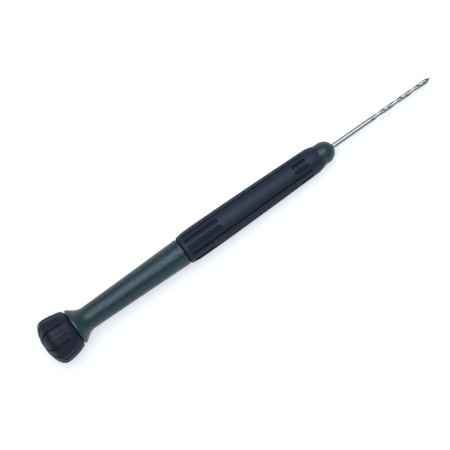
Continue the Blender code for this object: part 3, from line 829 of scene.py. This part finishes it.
def grip_shares(angle, station):
    """The grip's pressed patches: depth, share and painted shade of each, at angles from a panel's middle.
    """
    radius = grip_radius(station)
    panel = wrapped(angle, PANEL_TURN)
    strip = wrapped(angle - PANEL_TURN / 2, PANEL_TURN)
    patches = []
    for offset, tongue, width, rear_end in (
            (panel, PANEL_TONGUE, PANEL_POCKET, PANEL_POCKETS_END),
            (strip, STRIP_TONGUE, STRIP_POCKET, STRIP_POCKETS_END)):
        rear = np.minimum(station - REAR_POCKETS, POCKET_SLOPE * (rear_end - station))
        front = np.minimum(station - FRONT_POCKETS, FRONT_POCKETS_END - station)
        patches.append(pocket_pair(offset, tongue, width, radius, rear))
        patches.append(pocket_pair(offset, tongue, width, radius, front))
    side = radius * (GROOVE_HALF - np.abs(np.abs(panel) - GROOVE_OFFSET))
    ends = np.minimum(station - REAR_POCKETS, FRONT_POCKETS_END - station)
    groove = patch(side, ends, GROOVE_WALL, GROOVE_WALL)
    patches.append((GROOVE_DEPTH, groove, GROOVE_DARKNESS * groove))
    for offset in LINE_OFFSETS:
        side = LINE_HALF - radius * np.abs(strip - offset)
        ends = np.minimum(station - LINE_START, LINE_END - station)
        line = patch(side, ends, LINE_HALF, LINE_HALF)
        patches.append((LINE_DEPTH, line, LINE_DARKNESS * line))
    return patches


print("grip pattern repeats", PANEL_COUNT, "times")

# %% Grip piece
GRIP_COARSE_ANGLE = math.radians(3)
GRIP_FINE_ANGLE = math.radians(0.42)
GRIP_WALL_ANGLE = math.radians(3.2)
GRIP_COARSE_STEP = 0.0009
GRIP_FINE_STEP = 0.00006
GRIP_WALL_REACH = 0.00045
END_CLEARANCE = 3
# SEAM_DARKNESS is painted shade on the rubber where it meets the green moulding.
SEAM_DARKNESS = 0.8


def grip_angles():
    """Angles across one period, from the middle of a strip to the next, crowded at the walls."""
    strip = PANEL_TURN / 2
    edges = []
    for side in (-1, 1):
        edges += [side * PANEL_TONGUE, side * (PANEL_TONGUE + PANEL_POCKET), side * GROOVE_OFFSET]
        edges += [side * (strip - STRIP_TONGUE), side * (strip - STRIP_TONGUE - STRIP_POCKET)]
        edges += [side * (strip - abs(offset)) for offset in LINE_OFFSETS]
    return crowd(-strip, strip, GRIP_COARSE_ANGLE, edges, GRIP_FINE_ANGLE, GRIP_WALL_ANGLE)


def grip_sector():
    """One third of the grip as a mesh: its patterned outside, its ends and its bore."""
    edges = [REAR_POCKETS, PANEL_POCKETS_END, STRIP_POCKETS_END, FRONT_POCKETS, FRONT_POCKETS_END]
    stations = crowd(GRIP_START, GRIP_FRONT, GRIP_COARSE_STEP, edges, GRIP_FINE_STEP, GRIP_WALL_REACH)
    inner = stations[END_CLEARANCE:-END_CLEARANCE]
    stations = np.concatenate([stations[:1], inner, stations[-1:]])[::-1]
    outside = list(zip(grip_radius(stations), stations))
    lip = [(LIP_RADIUS, GRIP_START), (LIP_RADIUS, LIP_START)]
    bore = [(GRIP_BORE, LIP_START), (GRIP_BORE, GRIP_FRONT)]
    outline = np.array(fillet(outside + lip + bore, {0: GRIP_FILLET, len(outside) - 1: GRIP_FILLET}))
    angles = grip_angles()
    patches = grip_shares(angles[None, :], outline[:, 1:])
    depth = np.max([deep * share for deep, share, painted_shade in patches], axis=0)
    depth *= outline[:, :1] > GRIP_BORE + FIT
    mesh = sweep("grip_period", outline, angles + GRIP_PHASE, closed=True, full_turn=False, depth=depth)
    # Painted shade: dark on the lip at the rear, and on the walls, grooves and lines of the pressed patches.
    seam = SEAM_DARKNESS * (outline[:, 1:] < GRIP_START + WELD)
    pressed = np.max([painted_shade for deep, share, painted_shade in patches], axis=0)
    store(mesh, "painted_shade", np.maximum(seam, pressed))
    return mesh


grip_mesh = run_tree("soft_grip", grip_sector(), REPEAT, {"Count": PANEL_COUNT, "Material": BLACK})
place_piece("soft_grip", grip_mesh, BLACK, "handle", "grip_sleeve")

# %% [markdown]
# ## Palm knob
# The knob is a soft ribbed cap over a hard hub. Five spines run over the dome and down the side, and a
# groove parts each from the flatter, slightly sunk panels beside it. Each panel has two windows with a rib
# between them. A thin skirt at the front stands in the gap to the flange. Painted shade darkens the skirt,
# the grooves and the window walls. One fifth is modelled: the outline of the side and the dome, with flats,
# grooves and windows pressed in along its normal.

# %% Knob rubber
KNOB_DARK = (0.0045, 0.0065, 0.015, 1)
KNOB_LIGHT = (0.008, 0.0105, 0.021, 1)
KNOB_BLACK = rubber("knob_rubber", KNOB_DARK, KNOB_LIGHT, shine=0.42, roughness=0.4)
print("knob rubber ready")

# %% Knob outline
KNOB_LENGTH = 0.01225
KNOB_RADIUS = 0.00915
KNOB_RIM = 0.0073
KNOB_DOME_LENGTH = 0.0045
KNOB_DOME_POWER = 2.2
KNOB_FLAT = 0.0025
KNOB_FILLET = 0.00015
SKIRT_RADIUS = 0.0066
SKIRT_FACE = 0.01265
COVER_BORE = 0.0065
COVER_LIP = 0.0062
COVER_FLOOR = 0.0022
LIP_FACE = 0.01095
HUB_EDGE = 0.0008
KNOB_STEP = 0.00009
RIM_CLEARANCE = 6
DOME_ROWS = 90


def knob_side():
    """The knob's side, from the front rim back to its widest ring."""
    station = np.arange(KNOB_LENGTH, KNOB_DOME_LENGTH, -KNOB_STEP)
    share = (station - KNOB_DOME_LENGTH) / (KNOB_LENGTH - KNOB_DOME_LENGTH)
    return list(zip(KNOB_RADIUS - (KNOB_RADIUS - KNOB_RIM) * share ** 2, station))


def dome_depth():
    """Half axis of the dome's curve, which the flat at the butt cuts short."""
    flat_share = (KNOB_FLAT / KNOB_RADIUS) ** KNOB_DOME_POWER
    return KNOB_DOME_LENGTH / (1 - flat_share) ** (1 / KNOB_DOME_POWER)


def dome_station(radius):
    """Where along the axis the dome has a radius."""
    rise = (1 - (radius / KNOB_RADIUS) ** KNOB_DOME_POWER) ** (1 / KNOB_DOME_POWER)
    return KNOB_DOME_LENGTH - dome_depth() * rise


def knob_dome():
    """The knob's flattened dome, from its widest ring to the flat at the butt."""
    last = math.acos((KNOB_FLAT / KNOB_RADIUS) ** (KNOB_DOME_POWER / 2))
    radius = KNOB_RADIUS * np.cos(np.linspace(0, last, DOME_ROWS)) ** (2 / KNOB_DOME_POWER)
    return list(zip(radius, dome_station(radius)))


def knob_outline():
    """The cover's outline from its cup round the rim to the butt, and where its plain outside starts."""
    cup = [(0, COVER_FLOOR), (COVER_BORE - HUB_EDGE, COVER_FLOOR), (COVER_BORE, COVER_FLOOR + HUB_EDGE)]
    lip = [(COVER_BORE, LIP_FACE), (COVER_LIP, LIP_FACE), (COVER_LIP, SKIRT_FACE)]
    skirt = [(SKIRT_RADIUS, SKIRT_FACE), (SKIRT_RADIUS, KNOB_LENGTH)]
    side = knob_side()
    outside = side[:1] + side[RIM_CLEARANCE:] + knob_dome() + [(0, 0)]
    inside = cup + lip
    corners = {len(inside): SMALL_FILLET, len(inside + skirt): KNOB_FILLET}
    outline = fillet(inside + skirt + outside, corners)
    return np.array(outline), len(outline) - len(outside) + 1


print("knob outline has", len(knob_outline()[0]), "points")

# %% Knob pattern
SPINE_COUNT = 5
SPINE_TURN = math.tau / SPINE_COUNT
KNOB_PHASE = math.radians(180)
PANEL_HALF = math.radians(22.7)
PANEL_FLATNESS = 0.1
PANEL_FRONT = 0.0107
PANEL_INNER = 0.0026
FRONT_RUN_OUT = 0.0025
REAR_RUN_OUT = 0.0005
GROOVE_WIDTH = 0.00022
KNOB_GROOVE_DEPTH = 0.0004
# KNOB_GROOVE_DARKNESS and WINDOW_DARKNESS set the painted shade in the grooves and on the window walls.
KNOB_GROOVE_DARKNESS = 0.8
PANEL_SINK = 0.0001
PANEL_WALL = 0.0003
WINDOW_HALF = math.radians(7.7)
WINDOW_OFFSET = math.radians(13.2)
WINDOW_DEPTH = 0.0002
WINDOW_DARKNESS = 0.7
FIELD_DEPTH = 0.0001
WINDOW_FRONT = 0.0103
WINDOW_REAR = 0.0035
WINDOW_SLOPE = 0.2
WINDOW_CORNER = 0.00035
KNOB_WALL = 0.00036


def facet_sag(radius, offset, half):
    """How far a flat facet lies under the round surface, at an angle from the facet's middle."""
    return radius * (1 - math.cos(half) / np.cos(np.minimum(np.abs(offset), half)))


def knob_surface(outside, angles):
    """How deep the knob's outside is pressed in at each point, and its painted shade in grooves and on
    walls.
    """
    radius = outside[:, :1]
    path = np.concatenate([[0], np.cumsum(np.linalg.norm(np.diff(outside, axis=0), axis=1))])
    stations = np.array([PANEL_FRONT, dome_station(PANEL_INNER), WINDOW_FRONT, WINDOW_REAR])
    panel_front, panel_rear, window_front, window_rear = np.interp(-stations, -outside[:, 1], path)
    offset = np.abs(wrapped(angles, SPINE_TURN))
    from_front = smooth_step((path - panel_front) / FRONT_RUN_OUT)[:, None]
    run_out = from_front * smooth_step((panel_rear - path) / REAR_RUN_OUT)[:, None]
    panel = facet_sag(radius, offset, PANEL_HALF) * PANEL_FLATNESS
    spine = facet_sag(radius, SPINE_TURN / 2 - offset, SPINE_TURN / 2 - PANEL_HALF)
    groove = np.exp(-(radius * (PANEL_HALF - offset) / GROOVE_WIDTH) ** 2) * run_out
    ends = np.minimum(WINDOW_SLOPE * (path - window_front), window_rear - path)[:, None]
    in_window = radius * (WINDOW_HALF - np.abs(offset - WINDOW_OFFSET))
    in_field = radius * (WINDOW_HALF + WINDOW_OFFSET - offset)
    window, field = [patch(side, ends, WINDOW_CORNER, KNOB_WALL) for side in (in_window, in_field)]
    sunk = smooth_step(radius * (PANEL_HALF - offset) / PANEL_WALL + 0.5) * run_out
    depth = (panel + spine) * run_out + KNOB_GROOVE_DEPTH * groove + PANEL_SINK * sunk
    depth += WINDOW_DEPTH * window + FIELD_DEPTH * field
    # Painted shade on the window walls and in the grooves.
    walls = np.maximum(wall_share(window), wall_share(field)) * from_front
    return depth, np.maximum(KNOB_GROOVE_DARKNESS * np.sqrt(groove), WINDOW_DARKNESS * walls)


print("knob pattern repeats", SPINE_COUNT, "times")

# %% Knob piece
KNOB_COARSE_ANGLE = math.radians(3)
KNOB_FINE_ANGLE = math.radians(0.36)
KNOB_WALL_ANGLE = math.radians(3)


def knob_sector():
    """One fifth of the knob cover, from the middle of a spine to the next."""
    outline, first = knob_outline()
    half = SPINE_TURN / 2
    edges = []
    for side in (-1, 1):
        edges += [side * PANEL_HALF]
        edges += [side * (WINDOW_OFFSET - WINDOW_HALF), side * (WINDOW_OFFSET + WINDOW_HALF)]
    angles = crowd(-half, half, KNOB_COARSE_ANGLE, edges, KNOB_FINE_ANGLE, KNOB_WALL_ANGLE)
    surface = knob_surface(outline[first:], angles)
    depth, painted_shade = [np.pad(values, ((first, 0), (0, 0))) for values in surface]
    # Painted shade on the skirt and rim, in the gap to the flange.
    painted_shade[outline[:, 1] > KNOB_LENGTH - WELD] = SEAM_DARKNESS
    mesh = sweep("knob_period", outline, angles + KNOB_PHASE, closed=False, full_turn=False, depth=depth)
    store(mesh, "painted_shade", painted_shade)
    return mesh


knob_mesh = run_tree("palm_knob", knob_sector(), REPEAT, {"Count": SPINE_COUNT, "Material": KNOB_BLACK})
place_piece("palm_knob", knob_mesh, KNOB_BLACK, "knob", "knob_cover")

# %% [markdown]
# ## Twist drill
# A twist drill follows a rule: a round bar whose cross-section has two hollows, turned steadily along its
# length. That makes it a natural piece for Geometry Nodes. A flat grid gives rows of points, and sums on
# their places roll it into a bar, press the flutes in, twist them and bring the tip to a point.

# %% Drill steel
STEEL_COLOUR = (0.3, 0.31, 0.32, 1)
STEEL_DULL = (0.235, 0.245, 0.255, 1)
FLUTE_COLOUR = (0.055, 0.058, 0.062, 1)
FLUTE_EDGE = (0.02, 0.3)
STEEL_MARK = 1 / 9000
STEEL_SMEAR = 0.0015
STEEL_RELIEF = 0.0000015
STEEL_ROUGHNESS = 0.18
MARK_SPREAD = 0.05
SMEAR_SPREAD = 0.08
FLUTE_SPREAD = 0.3


def turning_marks(sheet, mark):
    """Noise in rings round the tool's axis, each about mark metres wide."""
    along = towards(places(sheet), AXIS)
    sockets = {"W": along / mark, "Scale": 1.0}
    return sheet.node("ShaderNodeTexNoise", {"noise_dimensions": "1D"}, sockets, "Fac")


def drill_steel():
    """Polished steel with fine grinding marks round the shank, and flutes that are darker and rougher."""
    material, shader, sheet = new_finish("drill_steel", {"Metallic": 1.0})
    marks = turning_marks(sheet, STEEL_MARK)
    smear = grain(sheet, STEEL_SMEAR, detail=3.0)
    flute = attribute(sheet, "flute").step(*FLUTE_EDGE)
    dullness = marks * MARK_SPREAD + smear * SMEAR_SPREAD + flute * FLUTE_SPREAD
    feed(shader, "Base Color", flute.mix(smear.mix(STEEL_DULL, STEEL_COLOUR), FLUTE_COLOUR))
    feed(shader, "Roughness", dullness + STEEL_ROUGHNESS)
    feed(shader, "Normal", bump(sheet, marks, STEEL_RELIEF))
    return material


STEEL = drill_steel()
print("drill steel ready")

# %% Drill tree
DRILL = {
    "Radius": 0.00094,
    "Web Radius": 0.00067,
    "Clearance": 0.00003,
    "Lead": 0.0157,
    "Shank End": 0.1007,
    "Flute Start": 0.1430,
    "Run-out": 0.0025,
    "Point Start": 0.1684,
    "Tip": 0.1704,
    "Rings": 320,
    "Sides": 48,
}
FLUTE_COUNT = 2
FLUTE_SHAPE = 3
LAND_TURN = 1.2
LAND_EDGE = (-0.95, -0.55)
POINT_BLUNTNESS = 0.6
SHANK_CHAMFER = 0.0003


def drill_tree():
    """A tree that rolls, flutes, twists and points a grid into a twist drill."""
    kinds = {}
    for name, value in DRILL.items():
        kinds[name] = "NodeSocketInt" if isinstance(value, int) else "NodeSocketFloat"
    tree, given = new_tree("twist_drill", {**kinds, "Material": "NodeSocketMaterial"})
    grid = given["Rings"].node("GeometryNodeMeshGrid", None, {
        "Size X": 1.0, "Size Y": 1.0, "Vertices X": given["Rings"], "Vertices Y": given["Sides"] + 1})
    place = grid.node("ShaderNodeSeparateXYZ", None, {0: grid.node("GeometryNodeInputPosition")}, "X")
    across = Wire(tree, place.socket.node.outputs["Y"])
    station = given["Shank End"] + (place + 0.5) * (given["Tip"] - given["Shank End"])
    angle = (across + 0.5) * math.tau
    run_out = ((station - given["Flute Start"]) / given["Run-out"]).step(0.0, 1.0)
    hollow = (0.5 + 0.5 * angle.maths("COSINE", FLUTE_COUNT * angle)) ** FLUTE_SHAPE
    land = angle.maths("COSINE", FLUTE_COUNT * angle + LAND_TURN).step(*LAND_EDGE)
    depth = run_out * (hollow * (given["Radius"] - given["Web Radius"]) + land * given["Clearance"])
    chamfer = ((station - given["Shank End"]) / SHANK_CHAMFER).at_most(1.0)
    to_tip = (given["Tip"] - station) / (given["Tip"] - given["Point Start"])
    point = to_tip.at_most(1.0) ** POINT_BLUNTNESS
    radius = chamfer * point * (given["Radius"] - depth)
    side = angle + (station - given["Flute Start"]).at_least(0.0) * math.tau / given["Lead"]
    rolled = side.node("ShaderNodeCombineXYZ", None, {
        "X": radius * side.maths("COSINE", side), "Y": radius * side.maths("SINE", side), "Z": station})
    bar = grid.node("GeometryNodeSetPosition", None, {"Geometry": grid, "Position": rolled})
    bar = bar.node("GeometryNodeStoreNamedAttribute", {"data_type": "FLOAT", "domain": "POINT"}, {
        "Geometry": bar, "Name": "flute", "Value": run_out * hollow})
    end_tree(bar, given["Material"])
    return tree


TWIST = drill_tree()
print("drill tree has", len(TWIST.nodes), "nodes")

# %% Drill piece
drill_seed = bpy.data.meshes.new("drill_seed")
drill_mesh = run_tree("twist_drill", drill_seed, TWIST, {**DRILL, "Material": STEEL})
place_piece("twist_drill", drill_mesh, STEEL, "handle", "drill_bit")

# %% [markdown]
# ## The swivel inside the knob
# Inside sit a shoulder screw, its washer, a bronze bush, the hub, a thrust washer and the threaded brass
# insert. Their CAD shapes are right, so they stay and only get their finishes: turning marks and a faint
# tarnish on the metals, moulded grain on the plastics.

# %% Swivel finishes
TARNISH_SIZE = 0.0012
METAL_SPREAD = 0.12
METAL_RELIEF = 0.000006
PLASTIC_DRIFT = 0.004
PLASTIC_GRAIN = 0.0003
PLASTIC_SPREAD = 0.15
PLASTIC_RELIEF = 0.00002


def turned_metal(name, colour, dull, roughness, mark):
    """A turned metal: fine rings of the cutting tool along the axis, and a faint tarnish."""
    material, shader, sheet = new_finish(name, {"Metallic": 1.0})
    rings = turning_marks(sheet, mark)
    tarnish = grain(sheet, TARNISH_SIZE, detail=4.0)
    feed(shader, "Base Color", tarnish.mix(dull, colour))
    feed(shader, "Roughness", rings * METAL_SPREAD + tarnish * METAL_SPREAD + roughness)
    feed(shader, "Normal", bump(sheet, rings, METAL_RELIEF))
    return material


def moulded_plastic(name, dark, light, roughness, shine):
    """A moulded plastic with a fine grain."""
    material, shader, sheet = new_finish(name, {"Specular IOR Level": shine})
    fine = grain(sheet, PLASTIC_GRAIN, detail=3.0)
    feed(shader, "Base Color", grain(sheet, PLASTIC_DRIFT).mix(dark, light))
    feed(shader, "Roughness", fine * PLASTIC_SPREAD + roughness)
    feed(shader, "Normal", bump(sheet, fine, PLASTIC_RELIEF))
    return material


SWIVEL_FINISHES = {
    "pivot_screw": turned_metal(
        "screw_steel", (0.56, 0.56, 0.57, 1), (0.42, 0.42, 0.43, 1), roughness=0.26, mark=0.00012),
    "head_washer": turned_metal(
        "washer_steel", (0.6, 0.6, 0.61, 1), (0.48, 0.48, 0.49, 1), roughness=0.24, mark=0.00009),
    "tail_insert": turned_metal(
        "insert_brass", (0.68, 0.48, 0.19, 1), (0.5, 0.34, 0.13, 1), roughness=0.26, mark=0.00012),
    "knob_bush": turned_metal(
        "bush_bronze", (0.55, 0.36, 0.18, 1), (0.38, 0.24, 0.12, 1), roughness=0.34, mark=0.0002),
    "thrust_washer": moulded_plastic(
        "black_acetal", (0.006, 0.009, 0.012, 1), (0.01, 0.014, 0.018, 1), roughness=0.7, shine=0.06),
    "knob_hub": moulded_plastic(
        "hub_plastic", (0.024, 0.024, 0.026, 1), (0.034, 0.034, 0.037, 1), roughness=0.42, shine=0.4),
}
for node, finish in SWIVEL_FINISHES.items():
    for material_slot in frame["nodes"][node].material_slots:
        material_slot.material = finish
print("swivel finishes:", sorted(SWIVEL_FINISHES))

# %% [markdown]
# ## Table and size
# The table goes in last, at the height of the finished drill's lowest point.

# %% Finish
shown_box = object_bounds()
add_floor(shown_box[0].z)
print("shown size in mm:", [round(1000 * side, 2) for side in shown_box[1] - shown_box[0]])
